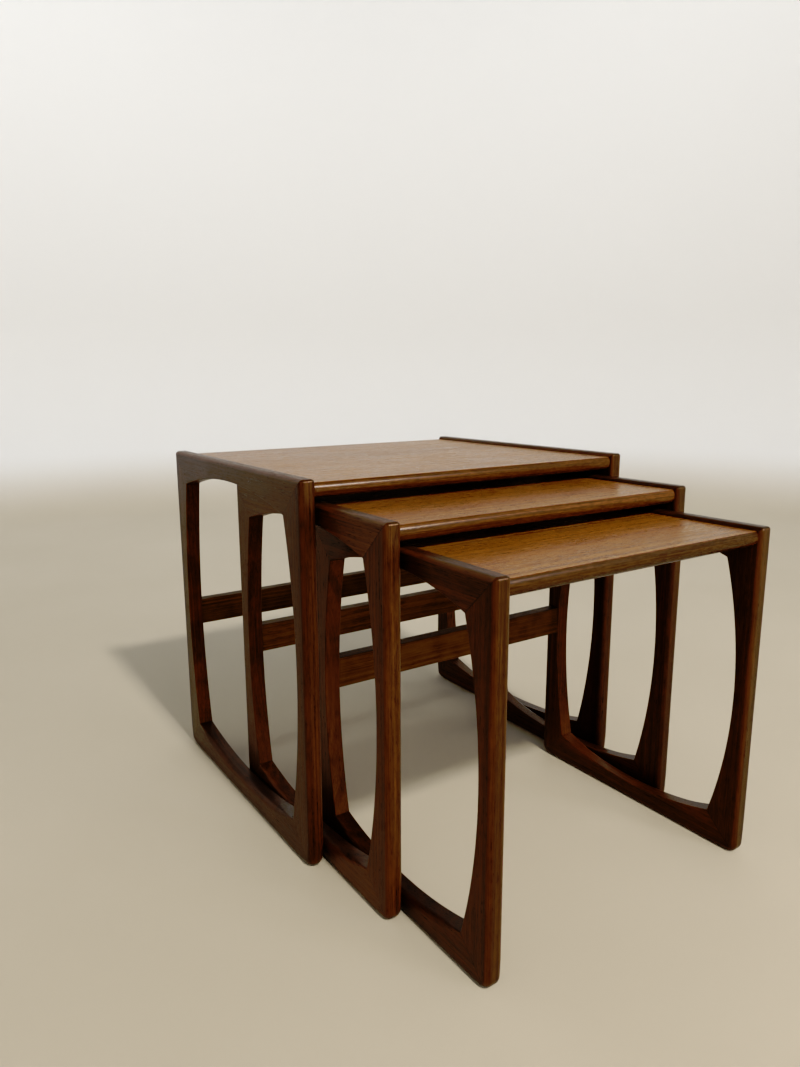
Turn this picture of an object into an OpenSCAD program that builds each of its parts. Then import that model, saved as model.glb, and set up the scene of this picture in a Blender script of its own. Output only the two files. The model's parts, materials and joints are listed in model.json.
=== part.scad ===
// Nest of three tables. Each table has two mitred side frames, a veneered top that is held
// between them with round-nosed lippings front and back, and one stretcher at the back.
// The medium table slides out from under the large one, and the small one from under it.
// x runs along the front edge, y from front to back and z up. The origin is on the floor,
// at the middle of the nest as it stands with the two smaller tables drawn forward.

/* [Nest] */
// Width of the large table over its side frames
large_width = 535; // [480:5:600]
// Depth of the large table
large_depth = 432; // [400:1:480]
// Height of the large table to the top of its side frames
large_height = 488; // [450:1:540]
// Gap between a side frame and the one that nests inside it
side_gap = 5; // [3:0.5:8]
// How much shallower each smaller table is
depth_step = 43; // [38:1:50]
// How much lower each smaller table is
height_step = 31; // [29:1:36]
// How far the medium table stands forward of the large one
medium_forward = 136; // [0:1:220]
// How far the small table stands forward of the medium one
small_forward = 139; // [0:1:200]

/* [Side frames] */
// Thickness of a side frame
frame_t = 21; // [18:0.5:24]
// Roundover along the outer edges of a side frame
edge_r = 6; // [3:0.5:8]
// Radius of a frame's two top corners, seen from the side
top_corner_r = 4; // [3:1:12]
// Radius of a frame's two bottom corners, seen from the side
foot_corner_r = 12; // [6:1:18]
// Width of the large frame's members where they meet at a mitre
mitre_width = 47; // [44:1:54]
// How much narrower the members of each smaller frame are there
mitre_step = 2; // [0:0.5:3]
// How deep the curve cuts into a front leg, at its middle
front_leg_cut = 24; // [4:1:26]
// How deep the curve cuts into a rear leg, at its middle
rear_leg_cut = 19; // [4:1:20]
// How deep the curve cuts into a top rail, at its middle
top_rail_cut = 22; // [4:1:23]
// How deep the curve cuts into a foot rail, at its middle
foot_rail_cut = 19; // [4:1:24]

/* [Top] */
// Thickness of a top, with its veneers
top_t = 19; // [16:0.5:22]
// How far the side frames stand above the top
lip = 5; // [2:0.5:6]
// How far the rounded edges stay behind the frame's front and back
edge_setback = 4; // [2:0.5:8]
// Depth of a lipping, front to back
lipping_depth = 14; // [12:1:24]
// Radius of a top's rounded edge, which runs smoothly into the underside
nose_r = 11; // [11:0.5:12]
// Thickness of a veneer
veneer_t = 1; // [0.6:0.1:1.5]

/* [Stretcher] */
// Height of the stretcher, top to bottom
stretcher_h = 40; // [34:1:60]
// Thickness of the stretcher, front to back
stretcher_t = 19; // [16:1:20]
// Height of the stretcher's lower edge above the floor
stretcher_z = 208; // [160:1:240]
// How far the stretcher stays in front of the frame's back
stretcher_setback = 4; // [2:1:6]

/* [Dowels] */
// Diameter of every dowel
dowel_d = 8; // [6:1:10]
// Length of the dowels between a top and its top rails
top_dowel_l = 30; // [24:1:36]
// Length of the dowels between a stretcher and the rear legs
stretcher_dowel_l = 30; // [24:1:36]
// Length of the dowels across a mitre
corner_dowel_l = 26; // [20:1:26]

/* [Hidden] */
SIZES = ["large", "medium", "small"];
SIDES = ["left", "right"];
MEMBERS = ["front_leg", "rear_leg", "top_rail", "foot_rail"];
TOP_PARTS = ["board", "top_veneer", "under_veneer", "front_lipping", "rear_lipping"];
JOINERY = ["stretcher", "top_dowels", "stretcher_dowels", "corner_dowels"];

$fn = 64;
LONG_ARC_FN = 240;      // for the curves as long as a leg
PAST_MITRE = 5;         // how far a member is drawn past its mitres before its curve is cut
BACKWARD = [0, -medium_forward, -medium_forward - small_forward];
NEST_SHIFT = -(large_depth + BACKWARD[2]) / 2;
TOP_DOWELS = 4;         // at each end of a top
DOWEL_END_GAP = 0.5;    // glue space beyond each end of a dowel
TOP_DOWEL_IN_RAIL = 12;
TOP_DOWEL_MARGIN = 60;  // from a frame's front or back to the nearest top dowel
STRETCHER_DOWEL_IN_LEG = 13;
STRETCHER_DOWEL_SPREAD = 11;
CORNER_DOWELS_AT = [20, 42]; // along the mitre, from the frame's outer corner

FRAME_WOOD = "#7a4220";
EDGE_WOOD = "#a05f24";
TOP_WOOD = "#b98a4c";
CORE_WOOD = "#c9a06a";
DOWEL_WOOD = "#d8b98a";

// Sizes of table i, where 0 is the large one
function width(i) = large_width - 2 * i * (frame_t + side_gap);
function depth(i) = large_depth - i * depth_step;
function height(i) = large_height - i * height_step;
function mitre(i) = mitre_width - i * mitre_step;
function inner_width(i) = width(i) - 2 * frame_t;
function top_z(i) = height(i) - lip;
function front_y(i) = NEST_SHIFT + BACKWARD[i];

// Radius of an arc from its chord and its height
function arc_radius(chord, rise) = (chord * chord / 4 + rise * rise) / (2 * rise);

// Puts a shape drawn in the side view, y across and z up, along x
module along_x(x, length) {
    translate([x, 0, 0]) rotate([90, 0, 90]) linear_extrude(length) children();
}

// A rectangle with its lower corner at the origin and a radius for each pair of corners
module rounded_rectangle(size, low_r, high_r) {
    union() {
        translate([low_r, 0]) square([size[0] - 2 * low_r, size[1] - high_r]);
        translate([high_r, low_r]) square([size[0] - 2 * high_r, size[1] - low_r]);
        translate([0, low_r]) square([size[0], size[1] - low_r - high_r]);
        for (x = [low_r, size[0] - low_r]) translate([x, low_r]) circle(low_r);
        for (x = [high_r, size[0] - high_r]) translate([x, size[1] - high_r]) circle(high_r);
    }
}

// The stretch of a frame's side view that one member takes, between its two mitres, which
// run on into the disc that cuts its inner edge
module member_wedge(i, member) {
    d = depth(i);
    h = height(i);
    m = mitre(i) + PAST_MITRE;
    low_front = [m, m];
    low_back = [d - m, m];
    high_front = [m, h - m];
    high_back = [d - m, h - m];
    if (member == "front_leg") polygon([[0, 0], low_front, high_front, [0, h]]);
    if (member == "rear_leg") polygon([[d, h], high_back, low_back, [d, 0]]);
    if (member == "top_rail") polygon([[0, h], high_front, high_back, [d, h]]);
    if (member == "foot_rail") polygon([[d, 0], low_back, low_front, [0, 0]]);
}

// The disc whose rim is the curved inner edge of a member
module member_curve(i, member) {
    $fn = LONG_ARC_FN;
    d = depth(i);
    h = height(i);
    m = mitre(i);
    upright = arc_radius(h - 2 * m, member == "front_leg" ? front_leg_cut : rear_leg_cut);
    level = arc_radius(d - 2 * m, member == "top_rail" ? top_rail_cut : foot_rail_cut);
    if (member == "front_leg") translate([m - front_leg_cut + upright, h / 2]) circle(upright);
    if (member == "rear_leg") translate([d - m + rear_leg_cut - upright, h / 2]) circle(upright);
    if (member == "top_rail") translate([d / 2, h - m + top_rail_cut - level]) circle(level);
    if (member == "foot_rail") translate([d / 2, m - foot_rail_cut + level]) circle(level);
}

// One member of a side frame, whose left face is at x, before it is drilled
module member_blank(i, x, member) {
    d = depth(i);
    h = height(i);
    intersection() {
        along_x(x, frame_t) difference() {
            intersection() {
                rounded_rectangle([d, h], foot_corner_r, top_corner_r);
                member_wedge(i, member);
            }
            member_curve(i, member);
        }
        translate([x, 0, 0]) linear_extrude(h) rounded_rectangle([frame_t, d], edge_r, edge_r);
        translate([x, d, 0]) rotate([90, 0, 0])
            linear_extrude(d) rounded_rectangle([frame_t, h], edge_r, edge_r);
    }
}

// A side frame's left face, and the face that the top and the stretcher butt against
function frame_x(i, side) = side == "left" ? -width(i) / 2 : width(i) / 2 - frame_t;
function butt_x(i, side) = (side == "left" ? -1 : 1) * inner_width(i) / 2;

// Dowels between the top and its rails, longer by extra at each end
module top_dowel_row(i, side, extra) {
    inward = side == "left" ? 1 : -1;
    middle = top_dowel_l / 2 - TOP_DOWEL_IN_RAIL;
    step = (depth(i) - 2 * TOP_DOWEL_MARGIN) / (TOP_DOWELS - 1);
    for (k = [0:TOP_DOWELS - 1])
        translate([butt_x(i, side) + inward * middle, TOP_DOWEL_MARGIN + k * step, top_z(i) - top_t / 2])
            rotate([0, 90, 0]) cylinder(h = top_dowel_l + 2 * extra, d = dowel_d, center = true);
}

// Dowels between the stretcher and a rear leg
module stretcher_dowel_pair(i, side, extra) {
    inward = side == "left" ? 1 : -1;
    middle = stretcher_dowel_l / 2 - STRETCHER_DOWEL_IN_LEG;
    y = depth(i) - stretcher_setback - stretcher_t / 2;
    for (offset = [-1, 1] * STRETCHER_DOWEL_SPREAD)
        translate([butt_x(i, side) + inward * middle, y, stretcher_z + stretcher_h / 2 + offset])
            rotate([0, 90, 0])
                cylinder(h = stretcher_dowel_l + 2 * extra, d = dowel_d, center = true);
}

// Dowels across the four mitres of a frame, square to each mitre
module corner_dowel_set(i, side, extra) {
    x = frame_x(i, side) + frame_t / 2;
    for (back = [0, 1], high = [0, 1], along = CORNER_DOWELS_AT) {
        reach = along / sqrt(2);
        y = back == 1 ? depth(i) - reach : reach;
        z = high == 1 ? height(i) - reach : reach;
        lean = back == high ? 45 : -45;
        translate([x, y, z]) rotate([lean, 0, 0])
            cylinder(h = corner_dowel_l + 2 * extra, d = dowel_d, center = true);
    }
}

// A drilled member of a side frame
module frame_member(i, side, member) {
    color(FRAME_WOOD) difference() {
        member_blank(i, frame_x(i, side), member);
        corner_dowel_set(i, side, DOWEL_END_GAP);
        if (member == "top_rail") top_dowel_row(i, side, DOWEL_END_GAP);
        if (member == "rear_leg") stretcher_dowel_pair(i, side, DOWEL_END_GAP);
    }
}

// How far the nose of a top's edge lies behind its tip, z above the underside
function nose_inset(z) = nose_r - sqrt(nose_r * nose_r - (z - nose_r) * (z - nose_r));

// A lipping, drawn with its nose at the front; the top veneer runs over it. The nose meets
// the upper face at a corner and the underside smoothly.
module lipping_profile() {
    intersection() {
        square([lipping_depth, top_t - veneer_t]);
        union() {
            translate([nose_r, nose_r]) circle(nose_r);
            translate([nose_r, 0]) square([lipping_depth, top_t]);
        }
    }
}

module front_lipping(i) {
    color(EDGE_WOOD) translate([0, edge_setback, top_z(i) - top_t])
        along_x(-inner_width(i) / 2, inner_width(i)) lipping_profile();
}

module rear_lipping(i) {
    color(EDGE_WOOD) translate([0, depth(i) - edge_setback, top_z(i) - top_t])
        along_x(-inner_width(i) / 2, inner_width(i)) mirror([1, 0]) lipping_profile();
}

// A flat layer of the top between the lippings
module top_layer(i, z, t) {
    y = edge_setback + lipping_depth;
    translate([-inner_width(i) / 2, y, z]) cube([inner_width(i), depth(i) - 2 * y, t]);
}

// It covers the lippings too, and its edges carry on their noses
module top_veneer(i) {
    reach = depth(i) - 2 * edge_setback;
    below = nose_inset(top_t - veneer_t);
    above = nose_inset(top_t);
    color(TOP_WOOD) translate([0, edge_setback, top_z(i) - veneer_t])
        along_x(-inner_width(i) / 2, inner_width(i))
            polygon([[below, 0], [reach - below, 0], [reach - above, veneer_t], [above, veneer_t]]);
}

module under_veneer(i) {
    color(TOP_WOOD) top_layer(i, top_z(i) - top_t, veneer_t);
}

module board(i) {
    color(CORE_WOOD) difference() {
        top_layer(i, top_z(i) - top_t + veneer_t, top_t - 2 * veneer_t);
        for (side = SIDES) top_dowel_row(i, side, DOWEL_END_GAP);
    }
}

module stretcher(i) {
    y = depth(i) - stretcher_setback - stretcher_t;
    color(FRAME_WOOD) difference() {
        translate([-inner_width(i) / 2, y, stretcher_z])
            cube([inner_width(i), stretcher_t, stretcher_h]);
        for (side = SIDES) stretcher_dowel_pair(i, side, DOWEL_END_GAP);
    }
}

module top_dowels(i) {
    color(DOWEL_WOOD) for (side = SIDES) top_dowel_row(i, side, 0);
}

module stretcher_dowels(i) {
    color(DOWEL_WOOD) for (side = SIDES) stretcher_dowel_pair(i, side, 0);
}

module corner_dowels(i) {
    color(DOWEL_WOOD) for (side = SIDES) corner_dowel_set(i, side, 0);
}

for (i = [0:len(SIZES) - 1]) translate([0, front_y(i), 0]) {
    for (side = SIDES, member = MEMBERS)
        frame_member(i, side, member);
    board(i);
    top_veneer(i);
    under_veneer(i);
    front_lipping(i);
    rear_lipping(i);
    stretcher(i);
    top_dowels(i);
    stretcher_dowels(i);
    corner_dowels(i);
}
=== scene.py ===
"""Looks of the nest of three tables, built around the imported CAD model."""

import json
import math
import random

import bmesh
import bpy
from mathutils import Matrix, Vector


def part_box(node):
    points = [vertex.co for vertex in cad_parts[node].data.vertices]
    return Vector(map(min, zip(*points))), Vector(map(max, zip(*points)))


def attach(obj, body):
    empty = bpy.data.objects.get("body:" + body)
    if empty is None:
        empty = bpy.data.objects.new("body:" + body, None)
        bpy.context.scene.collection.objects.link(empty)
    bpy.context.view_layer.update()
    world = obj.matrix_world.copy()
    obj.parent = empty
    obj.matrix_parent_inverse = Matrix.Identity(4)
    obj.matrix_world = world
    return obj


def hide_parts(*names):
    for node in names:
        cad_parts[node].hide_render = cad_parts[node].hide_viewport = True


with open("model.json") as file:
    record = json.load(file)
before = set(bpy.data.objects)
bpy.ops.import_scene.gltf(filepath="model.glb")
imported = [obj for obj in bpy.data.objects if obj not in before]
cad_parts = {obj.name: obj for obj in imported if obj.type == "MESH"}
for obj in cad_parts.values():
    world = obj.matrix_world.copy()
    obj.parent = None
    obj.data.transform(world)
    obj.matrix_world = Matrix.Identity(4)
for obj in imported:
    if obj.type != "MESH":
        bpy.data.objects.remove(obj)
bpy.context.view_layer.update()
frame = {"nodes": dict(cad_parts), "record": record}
SLOTS = {s["node"]: s["material_slot"] for s in frame["record"]["subparts"]}

SIZES = ("large", "medium", "small")
SIDES = ("left", "right")
MEMBERS = ("front_leg", "rear_leg", "top_rail", "foot_rail")

# Shapes, in metres
ROUNDOVER = 0.006  # along the outer edges of a side frame
TOP_CORNER_R = 0.004  # of a side frame's outline, at its upper corners
FOOT_CORNER_R = 0.012  # and at its feet
LEAST_CORNER_R = 0.0004  # keeps an inset corner from closing up
# How far each member's inner edge bows into it
CUTS = {"front_leg": 0.024, "rear_leg": 0.019, "top_rail": 0.022, "foot_rail": 0.019}
EASE = 0.0012  # along the edges of a frame's opening
FOOT_SOFTENING = 0.0055  # extra, along a foot rail's upper edge on its outer side
FOOT_SOFTENING_RISE = 0.16  # share of the rail, from each end, over which that grows
FOOT_ROUNDOVER = {"large": 0.0098, "medium": 0.0078, "small": 0.0074}  # at a foot's corners
FOOT_ROUNDOVER_REACH = 0.034  # how far up from a foot the roundover is fuller
JOINT_GAP = 0.00005  # on each side of a mitre
NOSE_RADIUS = 0.011  # of a top's rounded edge, as in the CAD
NOSE_EASE = 0.0007  # along the nose's upper corner
NOSE_WEAR = 0.4  # how worn that corner looks, where 1 is a frame's arris
STRETCHER_EASE = 0.0015
NO_MITRE = 1.0  # distance to a mitre, for a piece that has none

# How finely the pieces are meshed
CORNER_STEPS = 6
LENGTH_STEPS = 44
ROUNDOVER_STEPS = 6
EASE_STEPS = 3
NOSE_STEPS = 28
BAR_STEPS = 12

SHARP_TURN = math.radians(45)  # edges that turn more than this are shaded crisp
STAINED_BELOW = math.radians(62)  # how far up a top veneer's rounded corner is stained

draw = random.Random(21)

# How much lighter or darker than its material a piece may be drawn
TONES = {
    "leg": (-0.14, 0.12),
    "rail": (-0.24, 0.0),
    "lipping": (-0.08, 0.08),
    "veneer": (-0.05, 0.05),
    "stretcher": (-0.1, 0.1),
}
# How much lighter or darker than its draw a piece is in the photo
# Some of these shifts are painted light and shade: they draw a piece lighter where the lamps light
# it too little, and darker where they light it too much.
TONE_AND_PAINTED_LIGHT_SHIFTS = {
    "large_left_front_leg": -0.16,
    "large_left_foot_rail": -0.15,
    "large_left_rear_leg": 0.12,
    "medium_left_top_rail": 0.20,
    "medium_left_foot_rail": 0.25,
    "small_left_front_leg": 0.05,
    # Painted shade: the right-hand front legs are drawn darker, to dim the light on their front
    # faces.
    "large_right_front_leg": -0.15,
    "medium_right_front_leg": -0.22,
    "small_right_front_leg": -0.22,
    # Painted light and shade: the large and medium lippings are drawn lighter to light their shaded
    # lower halves, and the small one darker.
    "large_front_lipping": 0.25,
    "medium_front_lipping": 0.18,
    "small_front_lipping": -0.28,
    "medium_stretcher": 0.30,
}


# ---------------------------------------------------------------- materials
class Nodes:
    """The nodes of one material."""

    def __init__(self, name):
        self.material = bpy.data.materials.new(name)
        self.material.use_nodes = True
        self.tree = self.material.node_tree
        self.tree.nodes.clear()

    def put(self, socket, value):
        if isinstance(value, bpy.types.NodeSocket):
            self.tree.links.new(value, socket)
        else:
            socket.default_value = value

    def add(self, kind, sockets, **settings):
        node = self.tree.nodes.new("ShaderNode" + kind)
        for key, value in settings.items():
            setattr(node, key, value)
        for key, value in sockets.items():
            self.put(node.inputs[key], value)
        return node

    def attribute(self, name, output):
        return self.add("Attribute", {}, attribute_name=name).outputs[output]

    def parts(self, vector):
        return self.add("SeparateXYZ", {0: vector}).outputs

    def math(self, operation, *values):
        return self.add("Math", dict(enumerate(values)), operation=operation).outputs[0]

    def noise(self, vector, along, across, detail=2.0, roughness=0.5):
        """Noise that varies so many times a metre along the grain, and across it."""
        sockets = {0: vector, 1: (along, across, across)}
        place = self.add("VectorMath", sockets, operation="MULTIPLY").outputs[0]
        sockets = {"Vector": place, "Scale": 1.0, "Detail": detail, "Roughness": roughness}
        return self.add("TexNoise", sockets).outputs[0]

    def swayed(self, value, pattern, amount):
        """A value moved both ways by a pattern that lies round 0.5."""
        return self.math("MULTIPLY_ADD", self.math("SUBTRACT", pattern, 0.5), amount, value)

    def line_noise(self, at, detail, roughness):
        sockets = {"W": at, "Scale": 1.0, "Detail": detail, "Roughness": roughness}
        return self.add("TexNoise", sockets, noise_dimensions="1D").outputs[0]

    def ramp(self, value, low, high, to_low=0.0, to_high=1.0):
        sockets = {0: value, 1: low, 2: high, 3: to_low, 4: to_high}
        return self.add("MapRange", sockets, interpolation_type="SMOOTHSTEP").outputs[0]

    def blend(self, factor, a, b, mode="MIX"):
        node = self.add("Mix", {0: factor, 6: a, 7: b}, data_type="RGBA", blend_type=mode)
        return node.outputs[2]

    def colours(self, value, stops):
        node = self.add("ValToRGB", {0: value})
        elements = node.color_ramp.elements
        while len(elements) < len(stops):
            elements.new(0.5)
        for element, (position, colour) in zip(elements, stops, strict=True):
            element.position = position
            element.color = (*colour, 1.0)
        return node.outputs[0]


AMBER = (1.0, 0.60, 0.32, 1.0)  # old lacquer, seen straight on
EDGE_STAIN = (0.38, 0.33, 0.50, 1.0)  # on a top veneer's edges, which match the lippings
SLOW_WAVE = 0.014  # metres that the growth rings wander, from end to end of a piece
QUICK_WAVE = 0.0016  # and within it
RING_SHIFT = 90.0  # sets each piece's rings apart from the others', by its tone
SHADE_STOPS = (0.12, 0.42, 0.62, 0.9)
SEAM = (0.0002, 0.0008)  # a mitre's dark line fades between these distances from it
PORE_DEPTH = 0.00025


def growth_rings(n, grain, tone, band):
    """Rings round a heart that lies outside the piece, wavering along the grain."""
    across, through = n.parts(grain)[1:3]
    shifted = n.swayed(across, n.noise(grain, along=2.4, across=9.0), SLOW_WAVE)
    shifted = n.swayed(shifted, n.noise(grain, along=16.0, across=60.0), QUICK_WAVE)
    squares = n.math("MULTIPLY", shifted, shifted), n.math("MULTIPLY", through, through)
    radius = n.math("SQRT", n.math("ADD", *squares))
    at = n.math("MULTIPLY_ADD", tone, RING_SHIFT, n.math("DIVIDE", radius, band))
    return n.ramp(n.line_noise(at, 3.0, 0.6), 0.28, 0.72)


def wood(name, shades, pore_shade, band, figure, fibre, dash, pores, roughness, gloss, coat):
    """Lacquered wood. shades run from dark to light; band is the growth rings' width in metres.
    figure, fibre, dash and pores are how strongly each shows."""
    n = Nodes(name)
    grain = n.attribute("grain", "Vector")
    piece = n.parts(n.attribute("piece", "Vector"))  # distance to each mitre, and the tone
    worn = n.attribute("worn", "Fac")
    stain = n.attribute("stain", "Fac")

    rings = growth_rings(n, grain, piece[2], band)
    streaks = n.noise(grain, along=9.0, across=620.0, detail=4.0, roughness=0.6)
    fibres = n.noise(grain, along=26.0, across=1500.0, detail=2.0, roughness=0.6)
    clouds = n.noise(grain, along=1.7, across=9.0)
    flecks = n.noise(grain, along=85.0, across=1150.0, detail=1.0)
    ribbon = n.noise(grain, along=95.0, across=330.0, detail=2.0, roughness=0.6)

    shade = n.swayed(0.5, rings, figure)
    shade = n.swayed(shade, streaks, 1.5 * fibre)
    shade = n.swayed(shade, fibres, fibre)
    shade = n.swayed(shade, clouds, 0.5)
    shade = n.swayed(shade, ribbon, dash)
    colour = n.colours(shade, list(zip(SHADE_STOPS, shades, strict=True)))

    # Open pores, fewer in the paler rings
    pore = n.ramp(n.math("MULTIPLY_ADD", rings, -0.05, flecks), 0.56, 0.66)
    colour = n.blend(n.math("MULTIPLY", pore, pores), colour, (*pore_shade, 1.0))

    # Arrises rubbed a little paler, a hairline at each mitre, and a top's stained edges
    patches = n.noise(grain, along=30.0, across=30.0)
    patchy = n.ramp(patches, 0.35, 0.65, to_low=0.08, to_high=0.34)
    colour = n.blend(n.math("MULTIPLY", worn, patchy), colour, (*shades[-1], 1.0))
    nearest = n.math("MINIMUM", piece[0], piece[1])
    seam = n.ramp(nearest, *SEAM, to_low=0.55, to_high=0.0)
    colour = n.blend(seam, colour, (*[c * 0.3 for c in pore_shade], 1.0))
    colour = n.blend(stain, colour, EDGE_STAIN, "MULTIPLY")
    # A piece's tone: its wood's own lightness, plus painted light and shade on some pieces
    tone = n.math("ADD", piece[2], 1.0)
    colour = n.add("HueSaturation", {"Value": tone, "Color": colour}).outputs[0]

    smudges = n.noise(grain, along=14.0, across=14.0, detail=3.0)
    rough = n.swayed(roughness, smudges, 0.12)
    rough = n.swayed(rough, streaks, 0.45)
    rough = n.swayed(rough, ribbon, 0.25)
    rough = n.math("MULTIPLY_ADD", pore, 0.12, rough)

    height = n.math("MULTIPLY_ADD", pore, -1.0, n.math("MULTIPLY", fibres, 0.45))
    bump = n.add("Bump", {"Height": height, "Strength": 0.35, "Distance": PORE_DEPTH})
    shader = n.add("BsdfPrincipled", {"Base Color": colour, "Roughness": rough})
    n.put(shader.inputs["Normal"], bump.outputs[0])
    n.put(shader.inputs["Specular IOR Level"], gloss)
    n.put(shader.inputs["Specular Tint"], AMBER)
    n.put(shader.inputs["Coat Weight"], coat)
    n.put(shader.inputs["Coat Roughness"], roughness)
    n.add("OutputMaterial", {0: shader.outputs[0]})
    return n.material


# Dark to light, for each kind of wood
FRAME_SHADES = (
    (0.017, 0.0066, 0.002),
    (0.04, 0.0178, 0.005),
    (0.066, 0.03, 0.009),
    (0.114, 0.043, 0.014),
)
EDGE_SHADES = (
    (0.029, 0.0112, 0.0028),
    (0.06, 0.0265, 0.0068),
    (0.093, 0.042, 0.0115),
    (0.15, 0.068, 0.021),
)
TOP_SHADES = (
    (0.098, 0.036, 0.0055),
    (0.174, 0.071, 0.01),
    (0.228, 0.099, 0.015),
    (0.31, 0.148, 0.028),
)
STRETCHER_SHADES = (
    (0.026, 0.012, 0.0034),
    (0.06, 0.0305, 0.0085),
    (0.095, 0.051, 0.015),
    (0.15, 0.085, 0.028),
)
UNDER_SHADES = (
    (0.04, 0.016, 0.005),
    (0.075, 0.034, 0.0115),
    (0.11, 0.052, 0.018),
    (0.17, 0.088, 0.034),
)
WOODS = {
    "frame_teak": {
        "shades": FRAME_SHADES,
        "pore_shade": (0.008, 0.003, 0.0008),
        "band": 0.0042,
        "figure": 0.30,
        "fibre": 0.62,
        "dash": 0.45,
        "pores": 0.7,
        "roughness": 0.36,
        "gloss": 0.28,
        "coat": 0.08,
    },
    "lipping_teak": {
        "shades": EDGE_SHADES,
        "pore_shade": (0.012, 0.004, 0.001),
        "band": 0.0042,
        "figure": 0.24,
        "fibre": 0.45,
        "dash": 0.45,
        "pores": 0.5,
        "roughness": 0.27,
        "gloss": 0.10,
        "coat": 0.22,
    },
    "top_veneer_teak": {
        "shades": TOP_SHADES,
        "pore_shade": (0.045, 0.015, 0.003),
        "band": 0.0060,
        "figure": 0.36,
        "fibre": 0.60,
        "dash": 0.66,
        "pores": 0.36,
        "roughness": 0.30,
        "gloss": 0.35,
        "coat": 0.05,
    },
    "stretcher_teak": {
        "shades": STRETCHER_SHADES,
        "pore_shade": (0.008, 0.003, 0.0008),
        "band": 0.0030,
        "figure": 0.28,
        "fibre": 0.45,
        "dash": 0.3,
        "pores": 0.5,
        "roughness": 0.50,
        "gloss": 0.14,
        "coat": 0.0,
    },
    "under_veneer_teak": {
        "shades": UNDER_SHADES,
        "pore_shade": (0.018, 0.007, 0.002),
        "band": 0.0080,
        "figure": 0.3,
        "fibre": 0.4,
        "dash": 0.5,
        "pores": 0.5,
        "roughness": 0.55,
        "gloss": 0.2,
        "coat": 0.0,
    },
}
MATERIALS = {name: wood(name, **values) for name, values in WOODS.items()}


def plain_wood(name, dark, light):
    """Raw wood of the pieces inside the joints, which keep their CAD meshes."""
    n = Nodes(name)
    place = n.add("TexCoord", {}).outputs["Object"]
    value = n.noise(place, along=40.0, across=900.0, detail=3.0)
    colour = n.colours(value, [(0.3, dark), (0.7, light)])
    shader = n.add("BsdfPrincipled", {"Base Color": colour, "Roughness": 0.7})
    n.add("OutputMaterial", {0: shader.outputs[0]})
    return n.material


MATERIALS["core_board"] = plain_wood("core_board", (0.32, 0.20, 0.10), (0.45, 0.30, 0.17))
MATERIALS["dowel_beech"] = plain_wood("dowel_beech", (0.42, 0.27, 0.14), (0.55, 0.38, 0.22))


# ------------------------------------------------------------------- pieces
class Piece:
    """One wooden piece: its mesh, and where each point lies in the wood."""

    def __init__(self, node, kind):
        self.points, self.grain, self.ends, self.worn, self.stain = [], [], [], [], []
        self.faces, self.cut_faces = [], []
        angle = draw.uniform(0.0, 2 * math.pi)
        heart = draw.uniform(0.035, 0.11)
        start = draw.uniform(0.0, 9.0)
        self.offset = Vector((start, heart * math.cos(angle), heart * math.sin(angle)))
        # The shift adds painted light or shade to some pieces' tone.
        self.tone = draw.uniform(*TONES[kind]) + TONE_AND_PAINTED_LIGHT_SHIFTS.get(node, 0.0)

    def point(self, place, grain, ends=(NO_MITRE, NO_MITRE), worn=0.0, stain=0.0):
        self.points.append(place)
        self.grain.append(Vector(grain) + self.offset)
        self.ends.append((*ends, self.tone))
        self.worn.append(worn)
        self.stain.append(stain)

    def rings(self, count, size):
        """Faces between count rings of size points each, and one over each end."""
        for k in range(count - 1):
            for j in range(size):
                a, b = k * size + j, k * size + (j + 1) % size
                self.faces.append((a, b, b + size, a + size))
        self.cut_faces += [len(self.faces), len(self.faces) + 1]
        self.faces.append(tuple(range(size)))
        self.faces.append(tuple(range((count - 1) * size, count * size)))

    def mesh(self, node):
        """The mesh, with the attributes that the woods read."""
        mesh = bpy.data.meshes.new(node)
        mesh.from_pydata(self.points, [], self.faces)
        for name, values in (("grain", self.grain), ("piece", self.ends)):
            store = mesh.attributes.new(name, "FLOAT_VECTOR", "POINT")
            store.data.foreach_set("vector", [c for v in values for c in v])
        for name, values in (("worn", self.worn), ("stain", self.stain)):
            store = mesh.attributes.new(name, "FLOAT", "POINT")
            store.data.foreach_set("value", values)
        return mesh

    def shade(self, mesh):
        """Smooth faces, with crisp edges round the cut ends and at sharp turns."""
        made = bmesh.new()
        made.from_mesh(mesh)
        made.faces.ensure_lookup_table()
        for index in self.cut_faces:
            for edge in made.faces[index].edges:
                edge.smooth = False
        for face in made.faces:
            face.smooth = True
        bmesh.ops.recalc_face_normals(made, faces=made.faces)
        for edge in made.edges:
            if edge.calc_face_angle(0.0) > SHARP_TURN:
                edge.smooth = False
        made.to_mesh(mesh)
        made.free()

    def make(self, node, body):
        mesh = self.mesh(node)
        self.shade(mesh)
        piece = bpy.data.objects.new(node + "_wood", mesh)
        bpy.context.scene.collection.objects.link(piece)
        slot = SLOTS[node]
        mesh.materials.append(MATERIALS[slot])
        shading = piece.modifiers.new("flat_faces", "WEIGHTED_NORMAL")
        shading.mode = "FACE_AREA"
        shading.weight = 100
        shading.keep_sharp = True
        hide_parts(node)
        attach(piece, body)


def arc(steps):
    """The angles of a quarter turn."""
    return [math.pi / 2 * k / steps for k in range(steps + 1)]


def smooth(x):
    """x from 0 to 1, with a gentle start and end."""
    return x * x * (3 - 2 * x)


def outline(zone, s, inset, length, radii):
    """A point of a member's outer outline, as (along, inward), inset by so much.
    zone is 0 on the first corner's half, 1 on the straight and 2 on the last corner's half."""
    turn = [max(r - inset, LEAST_CORNER_R) for r in radii]
    centre = [inset + t for t in turn]
    if zone == 1:
        return centre[0] + s * (length - centre[0] - centre[1]), inset
    end = 0 if zone == 0 else 1
    angle = math.pi / 4 * (1 - s if zone == 0 else s)
    u = centre[end] - turn[end] * math.sin(angle)
    v = centre[end] - turn[end] * math.cos(angle)
    return (u if zone == 0 else length - u), v


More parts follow.
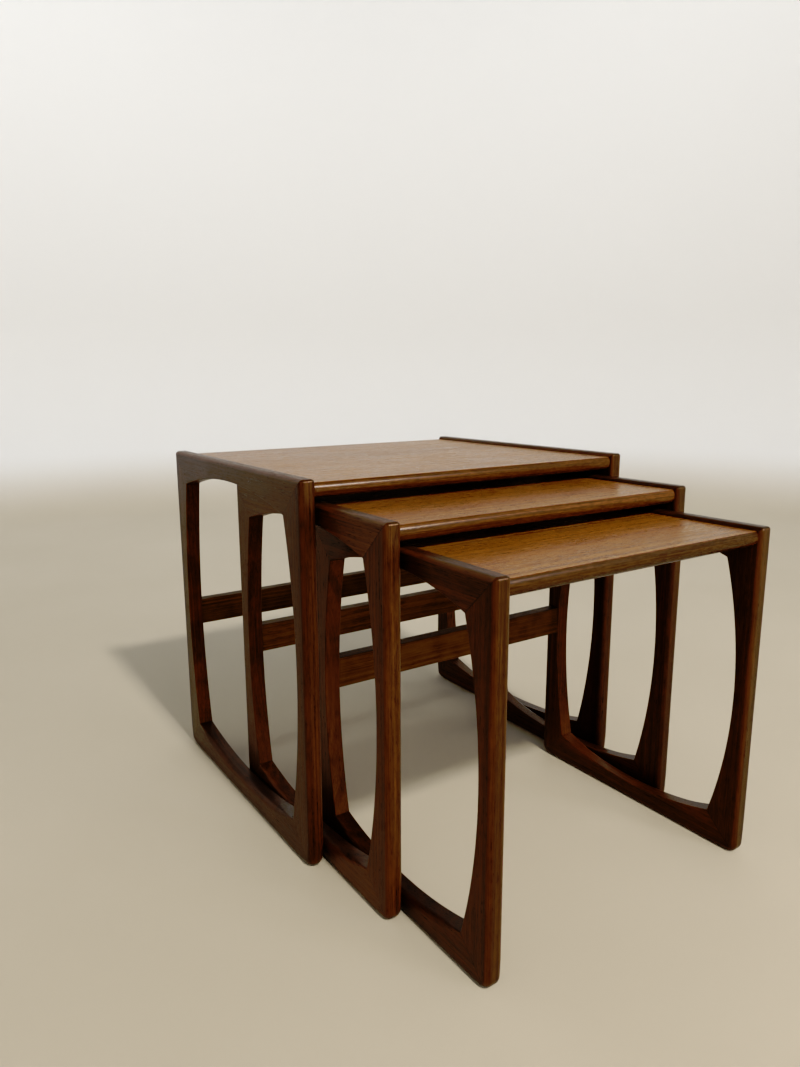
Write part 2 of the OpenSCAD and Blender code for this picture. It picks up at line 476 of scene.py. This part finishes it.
def opening(t, inset, length, mitre, cut):
    """A point of a member's curved inner edge, as (along, inward), inset into the wood."""
    half = length / 2 - mitre
    radius = (half * half + cut * cut) / (2 * cut)
    centre = mitre - cut + radius
    reach = radius + inset
    # where the inset curve meets the mitre, at along = inward = corner
    total = length / 2 + centre
    product = (length / 2) ** 2 + centre**2 - reach**2
    corner = (total - math.sqrt(total * total - 2 * product)) / 2
    first = math.atan2(corner - centre, corner - length / 2)
    last = math.atan2(corner - centre, length / 2 - corner)
    angle = first + t * (last - first)
    return length / 2 + reach * math.cos(angle), centre + reach * math.sin(angle)


def roundover(size, from_foot):
    """The roundover's radius, which is fuller near a foot."""
    clear = smooth(min(from_foot / FOOT_ROUNDOVER_REACH, 1.0))
    return ROUNDOVER + (FOOT_ROUNDOVER[size] - ROUNDOVER) * (1 - clear)


def softening(t):
    """How much of a foot rail's extra softening there is, from 0 at its ends to 1."""
    from_end = min(t, 1 - t)
    return smooth(min(from_end / FOOT_SOFTENING_RISE, 1.0))


def member_section(thick, r, outer_ease):
    """A frame member's section, as points (outside, depth, inset, worn). Those outside lie on
    the frame's outer outline and the rest on its opening; depth runs in from the outer side."""
    points = []
    for q in arc(ROUNDOVER_STEPS):
        points.append((True, r - r * math.cos(q), r - r * math.sin(q), math.sin(2 * q)))
    for q in arc(ROUNDOVER_STEPS):
        points.append((True, thick - r + r * math.sin(q), r - r * math.cos(q), math.sin(2 * q)))
    for q in arc(EASE_STEPS):
        points.append((False, thick - EASE + EASE * math.cos(q), EASE - EASE * math.sin(q), 1.0))
    for q in arc(EASE_STEPS):
        e = outer_ease
        points.append((False, e - e * math.sin(q), e - e * math.cos(q), 1.0))
    return points


def frame_member(size, side, member):
    """A leg or rail of a side frame, made of sections along its outer outline."""
    node = f"{size}_{side}_{member}"
    front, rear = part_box(f"{size}_{side}_front_leg"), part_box(f"{size}_{side}_rear_leg")
    y0, y1 = front[0].y, rear[1].y
    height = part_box(f"{size}_{side}_top_rail")[1].z
    mitre = front[1].y - front[0].y
    thick = front[1].x - front[0].x
    outer_x, inward = (front[0].x, 1) if side == "left" else (front[1].x, -1)
    upright = member.endswith("leg")
    length = height if upright else y1 - y0
    radii = {
        "front_leg": (FOOT_CORNER_R, TOP_CORNER_R),
        "rear_leg": (FOOT_CORNER_R, TOP_CORNER_R),
        "top_rail": (TOP_CORNER_R, TOP_CORNER_R),
        "foot_rail": (FOOT_CORNER_R, FOOT_CORNER_R),
    }[member]

    def place(u, v, a):
        x = outer_x + inward * a
        return {
            "front_leg": (x, y0 + v, u),
            "rear_leg": (x, y1 - v, u),
            "top_rail": (x, y0 + u, height - v),
            "foot_rail": (x, y0 + u, v),
        }[member]

    stations = [(0, k / CORNER_STEPS) for k in range(CORNER_STEPS)]
    stations += [(1, k / LENGTH_STEPS) for k in range(LENGTH_STEPS + 1)]
    stations += [(2, (k + 1) / CORNER_STEPS) for k in range(CORNER_STEPS)]
    reach = [outline(z, s, 0.0, length, radii)[0] for z, s in stations]
    piece = Piece(node, "leg" if upright else "rail")
    for k, (zone, s) in enumerate(stations):
        t = (reach[k] - reach[0]) / (reach[-1] - reach[0])
        from_foot = {
            "front_leg": reach[k] - reach[0],
            "rear_leg": reach[k] - reach[0],
            "top_rail": FOOT_ROUNDOVER_REACH,
            "foot_rail": min(reach[k] - reach[0], reach[-1] - reach[k]),
        }[member]
        r = roundover(size, from_foot)
        outer_ease = EASE + (FOOT_SOFTENING * softening(t) if member == "foot_rail" else 0.0)
        section = member_section(thick, r, outer_ease)
        for outside, a, inset, worn in section:
            if outside:
                u, v = outline(zone, s, inset, length, radii)
            else:
                u, v = opening(t, inset, length, mitre, CUTS[member])
            gaps = (u - v) / math.sqrt(2), (length - u - v) / math.sqrt(2)
            if k in (0, len(stations) - 1):
                shift = JOINT_GAP / math.sqrt(2)
                u += shift if k == 0 else -shift
                v -= shift
            piece.point(place(u, v, a), (u, v, a), gaps, worn)
    piece.rings(len(stations), len(section))
    piece.make(node, f"{size}_table")


def bar(node, body, profile, kind):
    """A straight piece along x from a closed profile of (y, z, worn, stain) points."""
    low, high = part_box(node)
    piece = Piece(node, kind)
    for k in range(BAR_STEPS + 1):
        x = low.x + (high.x - low.x) * k / BAR_STEPS
        for y, z, worn, stain in profile:
            piece.point((x, y, z), (x, y - low.y, z - low.z), worn=worn, stain=stain)
    piece.rings(BAR_STEPS + 1, len(profile))
    piece.make(node, body)


def nose(size, end, piece):
    """The points of a top's rounded edge, from below upwards, that lie on one piece of it."""
    low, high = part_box(f"{size}_{end}_lipping")
    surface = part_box(f"{size}_top_veneer")[1].z
    tip, inward = (low.y, 1) if end == "front" else (high.y, -1)
    middle = low.z + NOSE_RADIUS
    ease_rise = surface - NOSE_EASE - middle
    ease_reach = math.sqrt((NOSE_RADIUS - NOSE_EASE) ** 2 - ease_rise**2)
    corner = math.atan2(ease_rise, ease_reach)
    joint = math.asin((high.z - middle) / NOSE_RADIUS)
    first, last = {"lipping": (-math.pi / 2, joint), "veneer": (joint, math.pi / 2)}[piece]
    points = []
    for k in range(NOSE_STEPS + 1):
        q = first + (last - first) * k / NOSE_STEPS
        if q <= corner:
            inset, rise, r, worn = NOSE_RADIUS, 0.0, NOSE_RADIUS, 0.0
        else:
            inset, rise, r, worn = NOSE_RADIUS - ease_reach, ease_rise, NOSE_EASE, NOSE_WEAR
        stain = 1.0 if piece == "veneer" and q < STAINED_BELOW else 0.0
        y = tip + inward * (inset - r * math.cos(q))
        points.append((y, middle + rise + r * math.sin(q), worn, stain))
    return points


def lipping(size, end):
    """A lipping, up to the veneer that covers it."""
    node = f"{size}_{end}_lipping"
    low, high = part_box(node)
    back = high.y if end == "front" else low.y
    profile = [*nose(size, end, "lipping"), (back, high.z, 0.0, 0.0), (back, low.z, 0.0, 0.0)]
    bar(node, f"{size}_table", profile, "lipping")


def top_veneer(size):
    """The veneer of a top, whose edges follow the lippings' noses."""
    profile = nose(size, "front", "veneer") + nose(size, "rear", "veneer")[::-1]
    bar(f"{size}_top_veneer", f"{size}_table", profile, "veneer")


def stretcher(size):
    """The rail that ties a table's rear legs, with eased edges."""
    node = f"{size}_stretcher"
    low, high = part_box(node)
    corners = (
        (low.y, low.z, 1, 1),
        (low.y, high.z, 1, -1),
        (high.y, high.z, -1, -1),
        (high.y, low.z, -1, 1),
    )
    profile = []
    for k, (y, z, dy, dz) in enumerate(corners):
        turns = [(1 - math.cos(q), 1 - math.sin(q)) for q in arc(EASE_STEPS)]
        if k % 2 == 0:
            turns.reverse()
        for p, q in turns:
            profile.append((y + dy * STRETCHER_EASE * p, z + dz * STRETCHER_EASE * q, 1.0, 0.0))
    bar(node, f"{size}_table", profile, "stretcher")


def under_veneer(size):
    """The veneer under a top, between its lippings, square at its edges."""
    node = f"{size}_under_veneer"
    low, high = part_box(node)
    corners = ((low.y, low.z), (low.y, high.z), (high.y, high.z), (high.y, low.z))
    bar(node, f"{size}_table", [(y, z, 0.0, 0.0) for y, z in corners], "veneer")


for size in SIZES:
    for side in SIDES:
        for member in MEMBERS:
            frame_member(size, side, member)
    lipping(size, "front")
    lipping(size, "rear")
    stretcher(size)
    top_veneer(size)
    under_veneer(size)

for node, slot in SLOTS.items():
    if slot in ("core_board", "dowel_beech"):
        cad = frame["nodes"][node]
        cad.data.materials.clear()
        cad.data.materials.append(MATERIALS[slot])


# -------------------------------------------------------------------- stage
FLOOR_RADIUS = 2.6
COVE = 0.9  # radius of the curve from the floor up to the wall
COVE_STEPS = 12
STUDIO_STEPS = 96
FLOOR_SHADES = ((0.455, 0.405, 0.315), (0.485, 0.435, 0.345))
WALL_SHADE = (0.68, 0.68, 0.68, 1.0)
WALL_STARTS = 0.25  # height where the floor's colour has given way to the wall's
ROOM_LIGHT = (0.93, 0.96, 1.0, 1.0)
ROOM_STRENGTH = 0.15
# The photo's contrast, as a gamma and a curve: deep shadows and lifted middle tones
GAMMA = 0.8
CONTRAST = (
    (0.018, 0.0065),
    (0.0375, 0.026),
    (0.0626, 0.074),
    (0.1, 0.127),
    (0.25, 0.34),
    (0.58, 0.65),
)


def studio():
    """A pale floor that curves up into a round backdrop, open above."""
    profile = [(0.0, 0.0), (0.8, 0.0), (1.6, 0.0), (FLOOR_RADIUS, 0.0)]
    for q in arc(COVE_STEPS)[1:]:
        profile.append((FLOOR_RADIUS + COVE * math.sin(q), COVE - COVE * math.cos(q)))
    profile += [(FLOOR_RADIUS + COVE, 2.4), (FLOOR_RADIUS + COVE, 3.4)]
    made = bmesh.new()
    verts = [made.verts.new((r, 0.0, z)) for r, z in profile]
    edges = [made.edges.new(pair) for pair in zip(verts, verts[1:], strict=False)]
    bmesh.ops.spin(
        made,
        geom=verts + edges,
        axis=(0, 0, 1),
        cent=(0, 0, 0),
        steps=STUDIO_STEPS,
        angle=2 * math.pi,
    )
    bmesh.ops.remove_doubles(made, verts=made.verts, dist=1e-5)
    for face in made.faces:
        face.smooth = True
    bmesh.ops.recalc_face_normals(made, faces=made.faces)
    mesh = bpy.data.meshes.new("studio")
    made.to_mesh(mesh)
    made.free()
    n = Nodes("studio_paint")
    place = n.add("TexCoord", {}).outputs["Object"]
    value = n.noise(place, along=1.5, across=1.5, detail=3.0)
    floor_paint = n.colours(value, list(zip((0.3, 0.7), FLOOR_SHADES, strict=True)))
    height = n.ramp(n.parts(place)[2], 0.0, WALL_STARTS)
    colour = n.blend(height, floor_paint, WALL_SHADE)
    shader = n.add("BsdfPrincipled", {"Base Color": colour, "Roughness": 0.75})
    n.add("OutputMaterial", {0: shader.outputs[0]})
    floor = bpy.data.objects.new("studio", mesh)
    bpy.context.scene.collection.objects.link(floor)
    mesh.materials.append(n.material)


def lamp(name, place, target, size, power, colour, fills=True, shines=True):
    """A disc lamp, which may light surfaces (fills), show in reflections (shines), or both."""
    data = bpy.data.lights.new(name, "AREA")
    data.shape = "DISK"
    data.size = size
    data.energy = power
    data.color = colour
    made = bpy.data.objects.new(name, data)
    made.location = place
    made.rotation_euler = (Vector(target) - Vector(place)).to_track_quat("-Z", "Y").to_euler()
    made.visible_diffuse = fills
    made.visible_glossy = shines
    bpy.context.scene.collection.objects.link(made)


studio()
lamp(
    "key",
    place=(-0.25, -3.20, 3.60),
    target=(0.0, 0.0, 0.25),
    size=0.32,
    power=185.0,
    colour=(1.0, 0.95, 0.87),
    shines=False,
)
lamp(
    "fill",
    place=(1.0, -2.9, 0.6),
    target=(0.0, 0.0, 0.3),
    size=1.0,
    power=26.0,
    colour=(1.0, 0.95, 0.88),
    shines=False,
)
lamp(
    "wall_left",
    place=(-0.3, 1.3, 3.2),
    target=(-0.8, 3.3, 2.0),
    size=1.0,
    power=33.0,
    colour=(0.92, 0.96, 1.0),
)
lamp(
    "wall_right",
    place=(1.2, 0.6, 3.2),
    target=(3.2, 1.5, 2.0),
    size=1.0,
    power=25.0,
    colour=(0.93, 0.965, 1.0),
)
lamp(
    "strip",
    place=(0.75, -1.87, 1.30),
    target=(-0.2, -0.1, 0.47),
    size=0.28,
    power=52.0,
    colour=(0.97, 0.97, 1.0),
    fills=False,
)

world = bpy.data.worlds.new("room")
world.use_nodes = True
background = world.node_tree.nodes["Background"].inputs
background["Color"].default_value = ROOM_LIGHT
background["Strength"].default_value = ROOM_STRENGTH
bpy.context.scene.world = world

view = bpy.context.scene.view_settings
view.view_transform = "Standard"
view.gamma = GAMMA
view.use_curve_mapping = True
contrast = view.curve_mapping.curves[3]
for tone, shown in CONTRAST:
    contrast.points.new(tone, shown)
view.curve_mapping.update()

# The camera, at the height and angle of someone standing in front of the nest's left corner
CAMERA_PLACE = Vector((-0.6575, -0.8614, 0.6011))
YAW, PITCH, ROLL = (math.radians(a) for a in (33.86, 11.36, -0.20))
ahead = Vector((math.sin(YAW) * math.cos(PITCH), math.cos(YAW) * math.cos(PITCH), -math.sin(PITCH)))
level = Vector((math.cos(YAW), -math.sin(YAW), 0.0))
upward = level.cross(ahead)
right = level * math.cos(ROLL) + upward * math.sin(ROLL)
up = upward * math.cos(ROLL) - level * math.sin(ROLL)
lens = bpy.data.cameras.new("camera")
lens.lens = 26.33
lens.sensor_width = 36.0
camera = bpy.data.objects.new("camera", lens)
camera.matrix_world = Matrix((
    (right.x, up.x, -ahead.x, CAMERA_PLACE.x),
    (right.y, up.y, -ahead.y, CAMERA_PLACE.y),
    (right.z, up.z, -ahead.z, CAMERA_PLACE.z),
    (0.0, 0.0, 0.0, 1.0),
))
bpy.context.scene.collection.objects.link(camera)
bpy.context.scene.camera = camera

bpy.context.view_layer.update()
